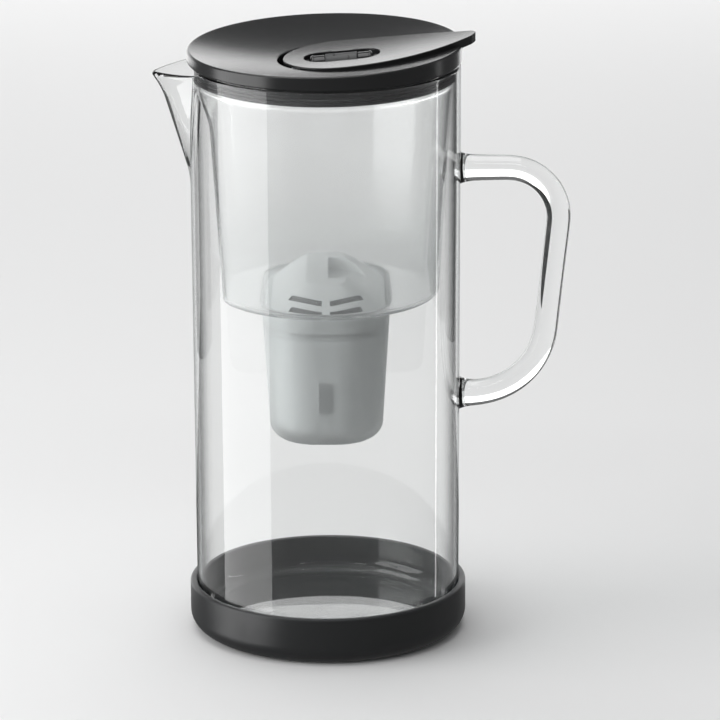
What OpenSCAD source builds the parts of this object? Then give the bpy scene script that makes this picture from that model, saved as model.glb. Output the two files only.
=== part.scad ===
// Water filter pitcher: a glass jug with a spout and a rod handle, a lift-out
// hopper with a filter cartridge in its well, and a lid with a flip flap.
// The jug stands on Z = 0 with its axis on Z. The spout points along -X and
// the handle along +X. The origin is on the axis, in the plane of the table.

/* [Jug] */
// Height of the glass rim above the table
rim_z = 281.4; // [270:0.2:300]
// Outer diameter of the glass at its rim
rim_d = 129.6; // [127:0.2:136]
// Outer diameter of the glass at its foot
foot_d = 126.8; // [122:0.2:128]
// Thickness of the glass wall
glass_t = 2.2; // [1.8:0.1:2.6]
// Thickness of the glass floor
glass_floor_t = 5; // [3:0.5:8]
// Outer radius of the corner between the wall and the floor
glass_corner_r = 9; // [6:0.5:12]

/* [Spout] */
// How far the spout's tip stands out from the rim
spout_out = 18.6; // [15:0.2:22]
// Drop of the spout's edge below the rim
spout_drop = 3.6; // [2:0.2:6]
// Radius of the hollow that the spout's edge follows
spout_edge_r = 60; // [50:1:80]
// Height of the spout, from the rim down to where it leaves the wall
spout_h = 55; // [45:1:65]
// Height of the part below the rim where the spout flares to its tip
spout_flare_h = 10; // [7:0.5:14]
// How far the tip reaches past the spout's straight lower part
spout_flare = 4.1; // [3:0.1:6]
// Distance of the spout's side creases from its middle
spout_side = 19; // [15:0.5:20]
// Inside radius of the spout's crease
spout_crease_r = 1.2; // [0.8:0.1:2]

/* [Handle] */
// How far the handle's outer edge stands out from the rim
handle_out = 52.8; // [48:0.2:60]
// Height of the upper arm's middle above the table
arm_top_z = 228.7; // [215:0.5:240]
// Height of the lower arm's middle above the table
arm_low_z = 116.6; // [105:0.5:125]
// Diameter of the glass rod in the bends
rod_d = 12; // [10:0.2:14]
// Diameter of the rod in the middle of the grip
grip_d = 11.2; // [9.5:0.1:12]
// Diameter of the arms next to the wall
arm_d = 13.8; // [12:0.2:16]
// Diameter of the weld where an arm meets the wall
weld_d = 18; // [16:0.5:22]
// Length of the weld's flare
weld_h = 4; // [2:0.5:6]
// Middle radius of the upper bend
bend_top_r = 24; // [18:0.5:28]
// Middle radius of the lower bend
bend_low_r = 36; // [28:0.5:40]
// Lean of the grip away from upright, in degrees
grip_lean = 6.4; // [2:0.2:9]

/* [Boot] */
// Thickness of the soft boot's wall
boot_t = 3.3; // [2.5:0.1:5]
// Height of the boot
boot_h = 23.6; // [20:0.2:30]
// Thickness of the boot's floor
boot_floor_t = 3; // [2:0.5:5]
// Radius of the boot's lower edge
boot_corner_r = 9; // [5:0.5:10]
// Radius of the boot's upper edge
boot_lip_r = 1.2; // [0.6:0.1:1.4]
// Gap between the boot and the glass
boot_gap = 0.2; // [0.1:0.05:0.3]

/* [Hopper] */
// Height of the underside of the hopper's floor above the table
floor_z = 168; // [160:0.5:176]
// How far the hopper stands out under its seal
hopper_step = 0.6; // [0.4:0.05:0.9]
// How much the hopper's radius shrinks for every millimetre of depth
hopper_draw = 0.065; // [0.05:0.001:0.07]
// Thickness of the hopper's wall and floor
hopper_t = 1.8; // [1.4:0.1:2.2]
// Radius of the hopper's lower edge
hopper_corner_r = 3; // [2:0.5:4]
// How deep the flat on the spout's side cuts into the hopper's floor
flat_cut = 5.2; // [4:0.1:6]
// How deep it cuts where the flat starts to flare out
flat_cut_top = 5.5; // [4:0.1:6.5]
// Depth below the rim where the flat starts to flare out
flare_depth = 30.4; // [26:0.2:36]
// Radius of the flare above the flat
flare_r = 22; // [18:0.5:26]
// Thickness of the flange that rests on the glass rim
flange_t = 1; // [0.8:0.1:1.4]
// Distance that the flange stays inside the edge of the rim
flange_inset = 0.2; // [0:0.1:0.5]

/* [Seal] */
// Height of the ribbed seal under the flange
seal_h = 7; // [6:0.5:8]
// Number of ribs on the seal
seal_ribs = 4; // [3:1:5]
// Radial thickness of the seal with its ribs
seal_t = 1.9; // [1.5:0.1:2.2]
// Gap between the seal and the glass
seal_gap = 0.3; // [0.25:0.05:0.5]

/* [Cartridge holder] */
// Width of the holder at the top of the hopper's floor, along X
holder_w = 61.4; // [60:0.2:64]
// Distance of the holder's ends from the edge of the hopper's floor
holder_margin = 4.55; // [4:0.05:8]
// Corner radius of the holder seen from above
holder_r = 26; // [22:0.5:28]
// Depth of the holder below the underside of the hopper's floor
holder_h = 65.5; // [62:0.5:70]
// How much each side draws in for every millimetre of depth
draw = 0.062; // [0.04:0.002:0.07]
// Thickness of the holder's wall
holder_t = 1.8; // [1.4:0.1:2.2]
// Height of the holder's rounded lower edge
holder_edge_h = 7.5; // [6:0.5:9]
// Width of the ledge that carries the cartridge
ledge_w = 1.6; // [1.2:0.1:2]
// Height of the ledge
ledge_h = 3; // [2:0.5:4]
// Depth of the cartridge's flange below the hopper's floor
ledge_drop = 2; // [1:0.5:3]
// Diameter of the outlet in the holder's floor
outlet_d = 7; // [5:0.5:10]

/* [Cartridge] */
// Height of the cartridge's flange
cart_flange_h = 8; // [6:0.5:9]
// Gap between the cartridge and the holder
cart_gap = 0.4; // [0.3:0.05:0.6]
// Depth of the cartridge's body below its flange
cart_body_h = 50; // [44:1:51]
// Thickness of the cartridge's walls
cart_t = 1.5; // [1.2:0.1:2]
// Height of the dome above the flange
dome_h = 12; // [9:0.5:15]
// How far the dome draws in from its foot to its top
dome_in_w = 19; // [16:0.5:22]
// Width of the water slots in the dome
slot_w = 2.4; // [1.6:0.1:3]
// Distance of a slot's far end from the middle of its row
slot_reach = 16.8; // [12:0.2:18]
// Gap between the two slots of a row
slot_gap = 3.8; // [3:0.2:6]
// Distance between the rows of slots
row_gap = 5; // [4:0.2:6]
// Distance of the outer row from the end of the flange
row_in = 3.1; // [2.8:0.1:4]
// Radius that the rows of slots follow
row_bow_r = 27; // [24:1:32]
// Radius of the thumb grip
grip_r = 19; // [15:0.5:21]
// Depth of the thumb grip in the dome
grip_depth = 6; // [4:0.5:8]

/* [Lid] */
// How far the lid's edge reaches past the glass rim
lid_over = 0.9; // [0.5:0.1:3]
// Height of the lid's edge at its sides, above the flange
lid_edge_h = 7.3; // [6:0.1:9]
// Radius of the hollow in the lid's top
dish_r = 270; // [255:5:300]
// Distance of the hollow's lowest point from the axis, towards the spout
dish_shift = 6.2; // [4:0.2:8]
// Bevel of the lid's upper edge
lid_bevel = 1.2; // [0.6:0.1:1.6]
// Thickness of the lid's shell
lid_t = 2.2; // [1.8:0.1:2.6]
// Gap between the lid's plug and the hopper's collar
plug_gap = 0.4; // [0.3:0.05:0.6]
// Depth of the lid's plug below the flange's top
plug_h = 8.4; // [8:0.1:9]
// Thickness of the plate that closes the lid underneath
liner_t = 1.4; // [1:0.1:1.6]

/* [Flap] */
// Distance of the middle of the flap's round end from the axis
leaf_x = 7.3; // [6:0.1:9]
// Radius of the flap's round end
leaf_r = 27.2; // [26:0.1:29]
// How far the flap's thumb tab reaches past the edge of the lid
tab_over = 6.1; // [5:0.1:8]
// Radius of the flap's thumb tab
tab_r = 7.8; // [7:0.1:9]
// Thickness of the flap
flap_t = 4.2; // [3.8:0.1:4.4]
// Radius of the hollow in the flap's top
flap_dish_r = 350; // [330:5:390]
// Height of the flap's top above the flange, over the jug's axis
flap_rise = 0.8; // [0.6:0.1:1.2]
// Slope of the flap's top over the jug's axis
flap_slope = 0.063; // [0.058:0.001:0.07]
// Gap between the flap and the lid
flap_gap = 0.5; // [0.4:0.05:0.7]
// Extra gap in front of the round end, which the heel of the flap turns in
heel_gap = 2.2; // [2.1:0.1:3]
// Width of the land under the flap's edge
land_w = 4; // [3:0.5:5]
// Diameter of the hinge pin
pin_d = 1.6; // [1.4:0.1:1.8]
// Thickness of the flap above the hinge pin's hole
pin_cover = 0.5; // [0.4:0.05:0.7]
// Distance of the hinge pin from the tip of the flap's round end
pin_inset = 5; // [4.4:0.1:5.4]
// Gap around the hinge pin in the flap
pin_gap = 0.05; // [0.02:0.01:0.09]

/* [Reminder] */
// Length of the reminder's pocket
pocket_l = 36.4; // [35.6:0.2:38]
// Width of the pocket
pocket_w = 19.6; // [17:0.2:21]
// Distance of the roller's middle from the jug's axis
roller_x = 8.2; // [7.5:0.1:9]
// Height of the roller's top above the flap
roller_rise = 1.5; // [1.1:0.1:2]
// Diameter of the roller
roller_d = 10.4; // [9:0.1:10.8]
// Length of the roller
roller_l = 15.3; // [14:0.1:16]
// Diameter of the sleeves beside the roller
sleeve_d = 9.4; // [8:0.1:9.8]
// Length of a sleeve
sleeve_l = 5.3; // [5:0.1:5.6]
// Diameter of the end flanges
end_d = 10; // [9:0.1:10.4]
// Thickness of an end flange
end_t = 1.8; // [1.4:0.1:2]
// Diameter of the axle
axle_d = 2.4; // [2:0.1:3]
// Gap around the axle in its posts
axle_gap = 0.05; // [0.02:0.01:0.09]
// Gap between the roller and the tray's floor
roller_float = 0.8; // [0.5:0.1:1.5]
// Width of the posts that carry the axle
post_w = 5; // [4:0.2:6]
// Gap between an end flange and its post
post_gap = 0.3; // [0.2:0.05:0.5]
// Thickness of the tray's walls, floor and posts
tray_t = 1.4; // [1:0.1:1.6]

/* [Hidden] */
$fn = 96;
far = 400;
glass = [0.80, 0.86, 0.86, 0.4];
clear_plastic = [0.72, 0.76, 0.77, 0.5];
frosted = [0.66, 0.70, 0.71, 0.7];
black = [0.10, 0.105, 0.105];
white = [0.93, 0.94, 0.94];

// Levels and radii that several pieces share
glass_z = boot_floor_t;
seat_z = rim_z + flange_t;
wall_z = glass_z + glass_corner_r;
function wall_r(z) =
    foot_d / 2 + (rim_d - foot_d) / 2 * (z - wall_z) / (rim_z - wall_z);
seal_z = rim_z - seal_h;
seal_r = wall_r(seal_z) - glass_t - seal_gap;
collar_r = seal_r - seal_t;
collar_in_r = collar_r - hopper_t;
floor_top_z = floor_z + hopper_t;
holder_z = floor_z - holder_h;
ledge_z = floor_top_z - ledge_drop - cart_flange_h;
plug_r = collar_in_r - plug_gap;
plug_z = seat_z - plug_h;
lid_r = rim_d / 2 + lid_over;
boot_r = foot_d / 2 + boot_gap + boot_t;
spout_reach = rim_d / 2 + spout_out;
handle_reach = rim_d / 2 + handle_out;
function hopper_r(z) = collar_r + hopper_step - hopper_draw * (seal_z - z);
holder_l = 2 * (hopper_r(floor_z) - holder_margin);

// The jug's outside from z0 to z1, grown or shrunk by g, as a turned outline
module jug_outline(g, z0, z1 = rim_z) {
    corner = glass_corner_r + g;
    polygon([[0, z0], [foot_d / 2 + g - corner, z0],
        [foot_d / 2 + g, z0 + corner], [wall_r(z1) + g, z1], [0, z1]]);
    translate([foot_d / 2 + g - corner, z0 + corner])
        circle(corner);
}

// A plate in the XZ plane, as thick as w along Y and centred on it
module along_y(w) {
    translate([0, w / 2, 0])
        rotate([90, 0, 0])
            linear_extrude(w)
                children();
}

// The spout: round-edged wedges between its lower crease, its flaring tip
// and the two sides, all grown outwards by g
crease_off = (spout_crease_r + glass_t) * 1.05;
spout_sink = 3;
spout_foot = [-wall_r(rim_z - spout_h) + crease_off + spout_sink, 0,
    rim_z - spout_h - 3 * spout_sink];
spout_knee = [-(spout_reach - spout_flare) + crease_off, 0,
    rim_z - spout_flare_h];
spout_tip = spout_knee + [-2 * spout_flare, 0, 1.4 * spout_flare_h];
spout_wall = [-rim_d / 2 + 4.8, spout_side, rim_z + 0.4 * spout_flare_h];

module spout_ball(p, g) {
    translate(p)
        sphere(spout_crease_r + g, $fn = 28);
}

module spout_form(g) {
    sides = [for (s = [-1, 1]) [spout_wall[0], s * spout_wall[1],
        spout_wall[2]]];
    hull() {
        spout_ball(spout_foot, g);
        spout_ball(spout_knee, g);
        for (p = sides)
            spout_ball(p, g);
    }
    hull() {
        spout_ball(spout_knee, g);
        spout_ball(spout_tip, g);
        for (p = sides)
            spout_ball(p, g);
    }
}

module glass_jug() {
    color(glass)
        difference() {
            union() {
                rotate_extrude()
                    jug_outline(0, glass_z);
                intersection() {
                    spout_form(glass_t);
                    translate([-far / 2, -far / 2, 0])
                        cube([far / 2, far, rim_z]);
                }
            }
            rotate_extrude()
                jug_outline(-glass_t, glass_z + glass_floor_t, rim_z + 5);
            spout_form(0);
            // the spout's edge dips below the rim
            translate([-spout_reach + 3.4, 0,
                rim_z - spout_drop + spout_edge_r])
                rotate([90, 0, 0])
                    cylinder(h = far / 2, r = spout_edge_r, center = true,
                        $fn = 180);
        }
}

// The handle: two arms, two bends and a leaning grip, all one glass rod
rod_r = rod_d / 2;
bend_top = [handle_reach - bend_top_r - rod_r, arm_top_z - bend_top_r];
lean_n = [cos(grip_lean), -sin(grip_lean)];
bend_low_z = arm_low_z + bend_low_r;
bend_low_x = (bend_top * lean_n + bend_top_r - bend_low_r
    - bend_low_z * lean_n[1]) / lean_n[0];
bend_low = [bend_low_x, bend_low_z];
grip_top = bend_top + bend_top_r * lean_n;
grip_low = bend_low + bend_low_r * lean_n;
grip_half = norm(grip_top - grip_low) / 2;

module rod_bend(centre, r, from, sweep) {
    translate([centre[0], 0, centre[1]])
        rotate([90, 0, 0])
            rotate([0, 0, from])
                rotate_extrude(angle = sweep)
                    translate([r, 0])
                        circle(rod_r, $fn = 48);
}

// A bead of melted glass where two lengths of the rod are joined
module bead(p, a) {
    translate([p[0], 0, p[1]])
        rotate([0, a, 0])
            cylinder(h = 1.2, r = rod_r + 0.06, center = true, $fn = 48);
}

// An arm of the handle; it runs on for a short way inside the bend
module arm(z, x_end) {
    x0 = wall_r(z) - 3;
    l = x_end - x0 + 0.5;
    translate([x0, 0, z])
        rotate([0, 90, 0])
            rotate_extrude($fn = 48)
                polygon([[0, 0], [weld_d / 2 + 1.5, 0],
                    [arm_d / 2 - 0.1, 3 + weld_h], [rod_r, l], [0, l]]);
}

module glass_handle() {
    color(glass)
        difference() {
            union() {
                arm(arm_top_z, bend_top[0]);
                arm(arm_low_z, bend_low[0]);
                rod_bend(bend_top, bend_top_r, -grip_lean, 90 + grip_lean);
                bead([bend_top[0], arm_top_z], 90);
                bead([bend_low[0], arm_low_z], 90);
                bead(grip_top, grip_lean);
                bead(grip_low, grip_lean);
                rod_bend(bend_low, bend_low_r, -90, 90 - grip_lean);
                translate([grip_low[0], 0, grip_low[1]])
                    rotate([0, grip_lean, 0])
                        rotate_extrude($fn = 48)
                            polygon([[0, 0], [rod_r, 0],
                                [grip_d / 2, grip_half],
                                [rod_r, 2 * grip_half], [0, 2 * grip_half]]);
            }
            rotate_extrude()
                jug_outline(0, glass_z);
        }
}

module base_boot() {
    r = boot_r;
    color(black)
        difference() {
            rotate_extrude() {
                square([r - boot_corner_r, boot_h]);
                translate([0, boot_corner_r])
                    square([r - boot_lip_r, boot_h - boot_corner_r]);
                translate([0, boot_corner_r])
                    square([r, boot_h - boot_corner_r - boot_lip_r]);
                translate([r - boot_corner_r, boot_corner_r])
                    circle(boot_corner_r);
                translate([r - boot_lip_r, boot_h - boot_lip_r])
                    circle(boot_lip_r, $fn = 32);
            }
            rotate_extrude()
                jug_outline(boot_gap, glass_z);
        }
}

// The hopper's outside grown by g: a cone with a round lower edge, and a flat
// towards the spout that flares out again under the seal
flare_z = rim_z - flare_depth;
flat_low = hopper_r(floor_z) - flat_cut;
flat_top = hopper_r(flare_z) - flat_cut_top;
function flat_x(z) =
    flat_low + (flat_top - flat_low) * (z - floor_z) / (flare_z - floor_z);

module hopper_form(g, z0) {
    corner = hopper_corner_r + g;
    difference() {
        rotate_extrude() {
            polygon([[0, z0], [hopper_r(z0) + g - corner, z0],
                [hopper_r(z0 + corner) + g, z0 + corner],
                [hopper_r(seal_z) + g, seal_z], [0, seal_z]]);
            translate([hopper_r(z0 + corner) + g - corner, z0 + corner])
                circle(corner);
        }
        along_y(far) {
            polygon([[-far / 2, floor_z - 20],
                [-flat_x(floor_z - 20) - g, floor_z - 20],
                [-flat_top - g, flare_z], [-far / 2, flare_z]]);
            translate([-flat_top - flare_r, flare_z])
                circle(flare_r - g);
        }
    }
}

// A tub with round corners, w by l at its top z1, drawn in by d at its foot z0
module tub(w, l, r, z0, z1, d) {
    cx = w / 2 - r;
    cy = l / 2 - r;
    for (sx = [-1, 1])
        for (sy = [-1, 1])
            translate([sx * cx, sy * cy, z0])
                cylinder(h = z1 - z0, r1 = r - d, r2 = r);
    along_y(2 * cy)
        polygon([[-w / 2 + d, z0], [w / 2 - d, z0], [w / 2, z1],
            [-w / 2, z1]]);
    rotate([0, 0, 90])
        along_y(2 * cx)
            polygon([[-l / 2 + d, z0], [l / 2 - d, z0], [l / 2, z1],
                [-l / 2, z1]]);
}

// Half of the draft that the holder has lost at height z
function drawn(z) = (floor_top_z - z) * draw;

// The holder's form shrunk by g between two heights
module holder_form(g, z0, z1) {
    tub(holder_w - 2 * drawn(z1) - 2 * g, holder_l - 2 * drawn(z1) - 2 * g,
        holder_r - drawn(z1) - g, z0, z1, drawn(z0) - drawn(z1));
}

// The same with a rounded lower edge, as two steps of bevel
module holder_shell_form(g, z0, z1, edge) {
    z_mid = z0 + edge * 0.3;
    z_top = z0 + edge;
    holder_form(g, z_top, z1);
    w = holder_w - 2 * g;
    l = holder_l - 2 * g;
    r = holder_r - g;
    step = drawn(z_top);
    tub(w - 2 * step, l - 2 * step, r - step, z_mid, z_top, edge * 0.3);
    low = step + edge * 0.3;
    tub(w - 2 * low, l - 2 * low, r - low, z0, z_mid, edge * 0.4);
}

module hopper_shell() {
    color(clear_plastic)
        difference() {
            union() {
                hopper_form(0, floor_z);
                translate([0, 0, seal_z - 1])
                    cylinder(h = seal_h + flange_t + 1, r = collar_r);
                translate([0, 0, rim_z])
                    cylinder(h = flange_t, r = rim_d / 2 - flange_inset);
            }
            hopper_form(-hopper_t, floor_top_z);
            translate([0, 0, seal_z - hopper_t])
                cylinder(h = far, r = collar_in_r);
            holder_form(0, floor_z - 1, floor_top_z + 1);
        }
}

module hopper_seal() {
    pitch = seal_h / seal_ribs;
    rib_r = pitch * 0.42;
    color(black)
        rotate_extrude()
            difference() {
                union() {
                    translate([collar_r, seal_z])
                        square([seal_t - rib_r, seal_h]);
                    for (i = [0 : seal_ribs - 1])
                        translate([seal_r - rib_r, seal_z + (i + 0.5) * pitch])
                            circle(rib_r, $fn = 32);
                }
                square([collar_r, far]);
            }
}

module cartridge_holder() {
    color(frosted)
        difference() {
            holder_shell_form(0, holder_z, floor_top_z, holder_edge_h);
            holder_form(holder_t, ledge_z, floor_top_z + 1);
            holder_form(holder_t + ledge_w, ledge_z - ledge_h - 1,
                ledge_z + 1);
            holder_shell_form(holder_t, holder_z + holder_t,
                ledge_z - ledge_h, holder_edge_h - holder_t * 0.5);
            translate([0, 0, holder_z - 1])
                cylinder(h = holder_t + 2, d = outlet_d);
        }
}

// The cartridge hangs by its flange on the holder's ledge
cart_top_z = ledge_z + cart_flange_h;
cart_low_z = ledge_z - cart_body_h;
body_in = holder_t + ledge_w + cart_gap;

module cartridge_cup() {
    color(white)
        difference() {
            union() {
                holder_form(body_in, cart_low_z, ledge_z);
                holder_form(holder_t + cart_gap, ledge_z,
                    ledge_z + cart_flange_h / 2);
            }
            holder_form(body_in + cart_t, cart_low_z + cart_t,
                cart_top_z);
            // windows in the floor that the water leaves by
            for (y = [-3 : 3])
                translate([-9, y * 7 - 1.5, cart_low_z - 1])
                    cube([18, 3, cart_t + 2]);
        }
}

// The dome, shrunk by g: three bevelled steps that draw in from the flange
dome_in = [0.105, 0.447, 0.737, 1] * dome_in_w;
dome_up = [0, 0.42, 0.75, 1] * dome_h;

module dome_form(g) {
    side = 2 * (holder_t + cart_gap + drawn(cart_top_z) + g);
    r = holder_r - side / 2;
    for (i = [0 : 2])
        tub(holder_w - side - 2 * dome_in[i + 1],
            holder_l - side - 2 * dome_in[i + 1], r - dome_in[i + 1],
            cart_top_z + dome_up[i] - g, cart_top_z + dome_up[i + 1] - g,
            dome_in[i] - dome_in[i + 1]);
}

// A half-moon thumb grip sunk in one side of the dome
module grip_form(g) {
    translate([1 - g, 0, cart_top_z + dome_h - grip_depth - g])
        intersection() {
            cylinder(h = far, r = grip_r + g);
            translate([0, -far / 2, 0])
                cube(far);
        }
}

// Two rows of curved water slots, one on each side of the middle
module slot_rows() {
    y_row = holder_l / 2 - holder_t - cart_gap - drawn(cart_top_z) - row_in;
    for (row_r = [row_bow_r, row_bow_r - row_gap])
        translate([0, row_bow_r - y_row, cart_top_z - cart_t])
            for (side = [0, 1])
                mirror([side, 0, 0])
                    rotate([0, 0, -90 + asin(slot_gap / 2 / row_r)])
                        rotate_extrude(angle = asin(slot_reach / row_r)
                            - asin(slot_gap / 2 / row_r))
                            translate([row_r - slot_w / 2, 0])
                                square([slot_w, 2 * dome_h]);
}

module cartridge_cap() {
    mid_z = ledge_z + cart_flange_h / 2;
    color(white)
        difference() {
            union() {
                holder_form(holder_t + cart_gap, mid_z, cart_top_z);
                dome_form(0);
            }
            holder_form(body_in + cart_t, mid_z - 1, cart_top_z - cart_t);
            difference() {
                dome_form(cart_t);
                grip_form(cart_t);
            }
            grip_form(0);
            for (end = [0, 1])
                mirror([0, end, 0])
                    slot_rows();
        }
}

// Two fine screens that keep the filter media in the cup
screen_t = 0.8;
screen_gap = 0.2;

module screen(z, g) {
    holder_form(body_in + cart_t + g, z, z + screen_t);
}

module cartridge_screens() {
    color("gainsboro") {
        screen(cart_low_z + cart_t, screen_gap);
        screen(ledge_z - screen_t, screen_gap);
    }
}

module filter_media() {
    color("dimgray")
        holder_form(body_in + cart_t + screen_gap,
            cart_low_z + cart_t + screen_t, ledge_z - screen_t);
}

// The flap's outline seen from above, grown by g: a round end, two long
// curved sides and a round thumb tab, all running into one another
tab_x = lid_r + tab_over - tab_r;
leaf_side_r = (pow(tab_x - leaf_x, 2) + pow(leaf_r, 2) - pow(tab_r, 2))
    / (2 * (leaf_r - tab_r));
side_y = leaf_side_r - leaf_r;
meet_x = leaf_x + (tab_x - leaf_x) * leaf_side_r / (leaf_side_r - tab_r);
// The sides lie this much inside the round ends, so that their arcs cross
side_in = 0.05;

module leaf(g) {
    translate([leaf_x, 0])
        circle(leaf_r + g);
    translate([tab_x, 0])
        circle(tab_r + g);
    intersection() {
        translate([leaf_x, -side_y])
            circle(leaf_side_r - side_in + g, $fn = 360);
        translate([leaf_x, side_y])
            circle(leaf_side_r - side_in + g, $fn = 360);
        translate([leaf_x, -far / 2])
            square([meet_x - leaf_x, far]);
    }
}

// Everything above the flap's hollow top, or above a surface g below it
bow_a = atan(flap_slope);
bow_x = -flap_dish_r * sin(bow_a);
bow_z = seat_z + flap_rise + flap_dish_r * cos(bow_a);
function bow_top(x, g) =
    bow_z - sqrt(pow(flap_dish_r + g, 2) - pow(x - bow_x, 2));

module above_bow(g) {
    translate([bow_x, 0, bow_z])
        sphere(flap_dish_r + g, $fn = 240);
}

// The hinge pin lies close under the flap's top, so that the heel swings
// down inside the gap in front of it
pin_r = pin_d / 2;
pin_x = leaf_x - leaf_r + pin_inset;
pin_z = bow_top(pin_x, pin_cover + pin_gap + pin_r);
heel_r = norm([pin_inset, flap_t - pin_cover - pin_r]) + 2 * flap_gap;
heel_y = sqrt(pow(leaf_r, 2) - pow(leaf_r - pin_inset, 2)) + flap_gap;
ear_w = 6;
ear_l = 8;

module pin_form(r, l) {
    translate([pin_x, 0, pin_z])
        rotate([90, 0, 0])
            cylinder(h = l, r = r, center = true, $fn = 48);
}

// The lid: a shell with a hollow top, dished towards the spout, and a plug.
// Its top edge and the hollow lean together towards the spout
dish_lean = asin(dish_shift / dish_r);
edge_z = seat_z + lid_edge_h;

module in_dish() {
    translate([0, 0, edge_z])
        rotate([0, -dish_lean, 0])
            children();
}

module above_dish(g) {
    in_dish()
        translate([0, 0, sqrt(pow(dish_r, 2) - pow(lid_r, 2))])
            sphere(dish_r + g, $fn = 240);
}

module fill_opening(g) {
    translate([0, 0, plug_z - 5])
        linear_extrude(far)
            intersection() {
                leaf(-land_w + g);
                circle(plug_r - lid_t - 2 + g);
            }
}

land_gap = 0.3;

// The recess for the flap seen from above, grown by g: it is longer than
// the flap at the round end
module recess_outline(g) {
    leaf(flap_gap + g);
    translate([leaf_x - heel_gap, 0])
        circle(leaf_r + flap_gap + g);
}

module flap_recess() {
    intersection() {
        translate([0, 0, plug_z - 1])
            linear_extrude(far)
                recess_outline(0);
        union() {
            above_bow(flap_t + land_gap);
            // room for the heel to turn in
            pin_form(heel_r, 2 * heel_y);
            translate([pin_x - 2 * heel_r, -heel_y, plug_z - 2])
                cube([2 * heel_r + flap_t / 2 + flap_gap, 2 * heel_y,
                    pin_z - plug_z + 2]);
        }
    }
}

module lid_cover() {
    color(black)
        difference() {
            union() {
                difference() {
                    union() {
                        intersection() {
                            in_dish()
                                rotate_extrude()
                                    polygon([[0, -4 * lid_edge_h],
                                        [lid_r, -4 * lid_edge_h],
                                        [lid_r, -lid_bevel],
                                        [lid_r - lid_bevel, 0], [0, 0]]);
                            translate([0, 0, seat_z])
                                cylinder(h = 3 * lid_edge_h, r = lid_r + 5);
                        }
                        translate([0, 0, plug_z])
                            cylinder(h = plug_h, r = plug_r);
                    }
                    difference() {
                        translate([0, 0, plug_z - 1])
                            cylinder(h = 3 * plug_h, r = plug_r - lid_t);
                        above_dish(lid_t);
                    }
                }
                // the wall round the fill opening, and the hinge's ears
                translate([0, 0, plug_z])
                    intersection() {
                        linear_extrude(2 * plug_h)
                            recess_outline(lid_t);
                        cylinder(h = 2 * plug_h, r = plug_r);
                    }
                for (s = [-1, 1])
                    translate([pin_x, s * (heel_y + ear_w / 2),
                        plug_z + plug_h / 2])
                        cube([ear_l, ear_w, plug_h], center = true);
            }
            above_dish(0);
            flap_recess();
            fill_opening(0);
            pin_form(pin_r, 2 * (heel_y + ear_w) - 2);
        }
}

module lid_liner() {
    color(black)
        difference() {
            translate([0, 0, plug_z - liner_t])
                cylinder(h = liner_t, r = plug_r - lid_t);
            fill_opening(0.5);
        }
}

module flap_pin() {
    color("silver")
        pin_form(pin_r, 2 * (heel_y + ear_w) - 2);
}

// The reminder's frame: its X runs along the flap, through the axle
roller_r = roller_d / 2;
flap_tilt = asin((roller_x - bow_x) / flap_dish_r);
roller_z = bow_top(roller_x, 0) + roller_rise - roller_r;
sleeve_x = roller_l / 2 + 0.2;
end_x = sleeve_x + sleeve_l;
post_x = end_x + end_t + post_gap;
tray_floor = -roller_r - roller_float;

module in_reminder() {
    translate([roller_x, 0, roller_z])
        rotate([0, -flap_tilt, 0])
            children();
}

module along_x(x, l, r1, r2) {
    translate([x, 0, 0])
        rotate([0, 90, 0])
            cylinder(h = l, r1 = r1, r2 = r2, $fn = 64);
}

// The pocket's outline as a prism from z0 up to z1, grown by g
module pocket(g, z0, z1) {
    d = pocket_w + 2 * g;
    l = pocket_l + 2 * g;
    translate([0, 0, z0]) {
        for (s = [-1, 1])
            translate([s * (l - d) / 2, 0, 0])
                cylinder(h = z1 - z0, d = d);
        translate([-(l - d) / 2, -d / 2, 0])
            cube([l - d, d, z1 - z0]);
    }
}

module flap_cover() {
    color(black)
        difference() {
            intersection() {
                translate([0, 0, plug_z])
                    linear_extrude(far)
                        leaf(0);
                above_bow(flap_t);
            }
            above_bow(0);
            in_reminder()
                pocket(0, -far / 2, far / 2);
            pin_form(pin_r + pin_gap, 3 * leaf_r);
        }
}

module flap_liner() {
    color(black)
        difference() {
            intersection() {
                fill_opening(-1.2);
                above_bow(flap_t + liner_t);
                translate([pin_x + pin_inset, -far / 2, 0])
                    cube(far);
            }
            above_bow(flap_t);
            in_reminder()
                pocket(tray_t, -far / 2, far / 2);
        }
}

module reminder_tray() {
    color(black)
        difference() {
            union() {
                difference() {
                    in_reminder()
                        difference() {
                            pocket(tray_t, tray_floor - tray_t, far / 2);
                            pocket(0, tray_floor, far);
                        }
                    above_bow(flap_t);
                }
                in_reminder()
                    for (s = [0, 1])
                        mirror([s, 0, 0])
                            translate([post_x, -post_w / 2, tray_floor])
                                cube([tray_t, post_w,
                                    axle_d - tray_floor]);
            }
            in_reminder()
                along_x(-far / 2, far, axle_d / 2 + axle_gap,
                    axle_d / 2 + axle_gap);
        }
}

module reminder_roller() {
    color("dimgray")
        in_reminder()
            difference() {
                along_x(-roller_l / 2, roller_l, roller_r, roller_r);
                along_x(-roller_l, 2 * roller_l, axle_d / 2, axle_d / 2);
            }
}

module reminder_sleeves() {
    color("gray")
        in_reminder()
            for (s = [0, 1])
                mirror([s, 0, 0])
                    difference() {
                        along_x(sleeve_x, sleeve_l, sleeve_d / 2,
                            sleeve_d / 2);
                        along_x(0, 2 * end_x, axle_d / 2, axle_d / 2);
                    }
}

module reminder_ends() {
    color(black)
        in_reminder()
            for (s = [0, 1])
                mirror([s, 0, 0])
                    difference() {
                        union() {
                            along_x(end_x, end_t / 2, end_d / 2, end_d / 2);
                            along_x(end_x + end_t / 2, end_t / 2, end_d / 2,
                                end_d / 2 - end_t / 2);
                        }
                        along_x(0, 2 * end_x, axle_d / 2, axle_d / 2);
                    }
}

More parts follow.
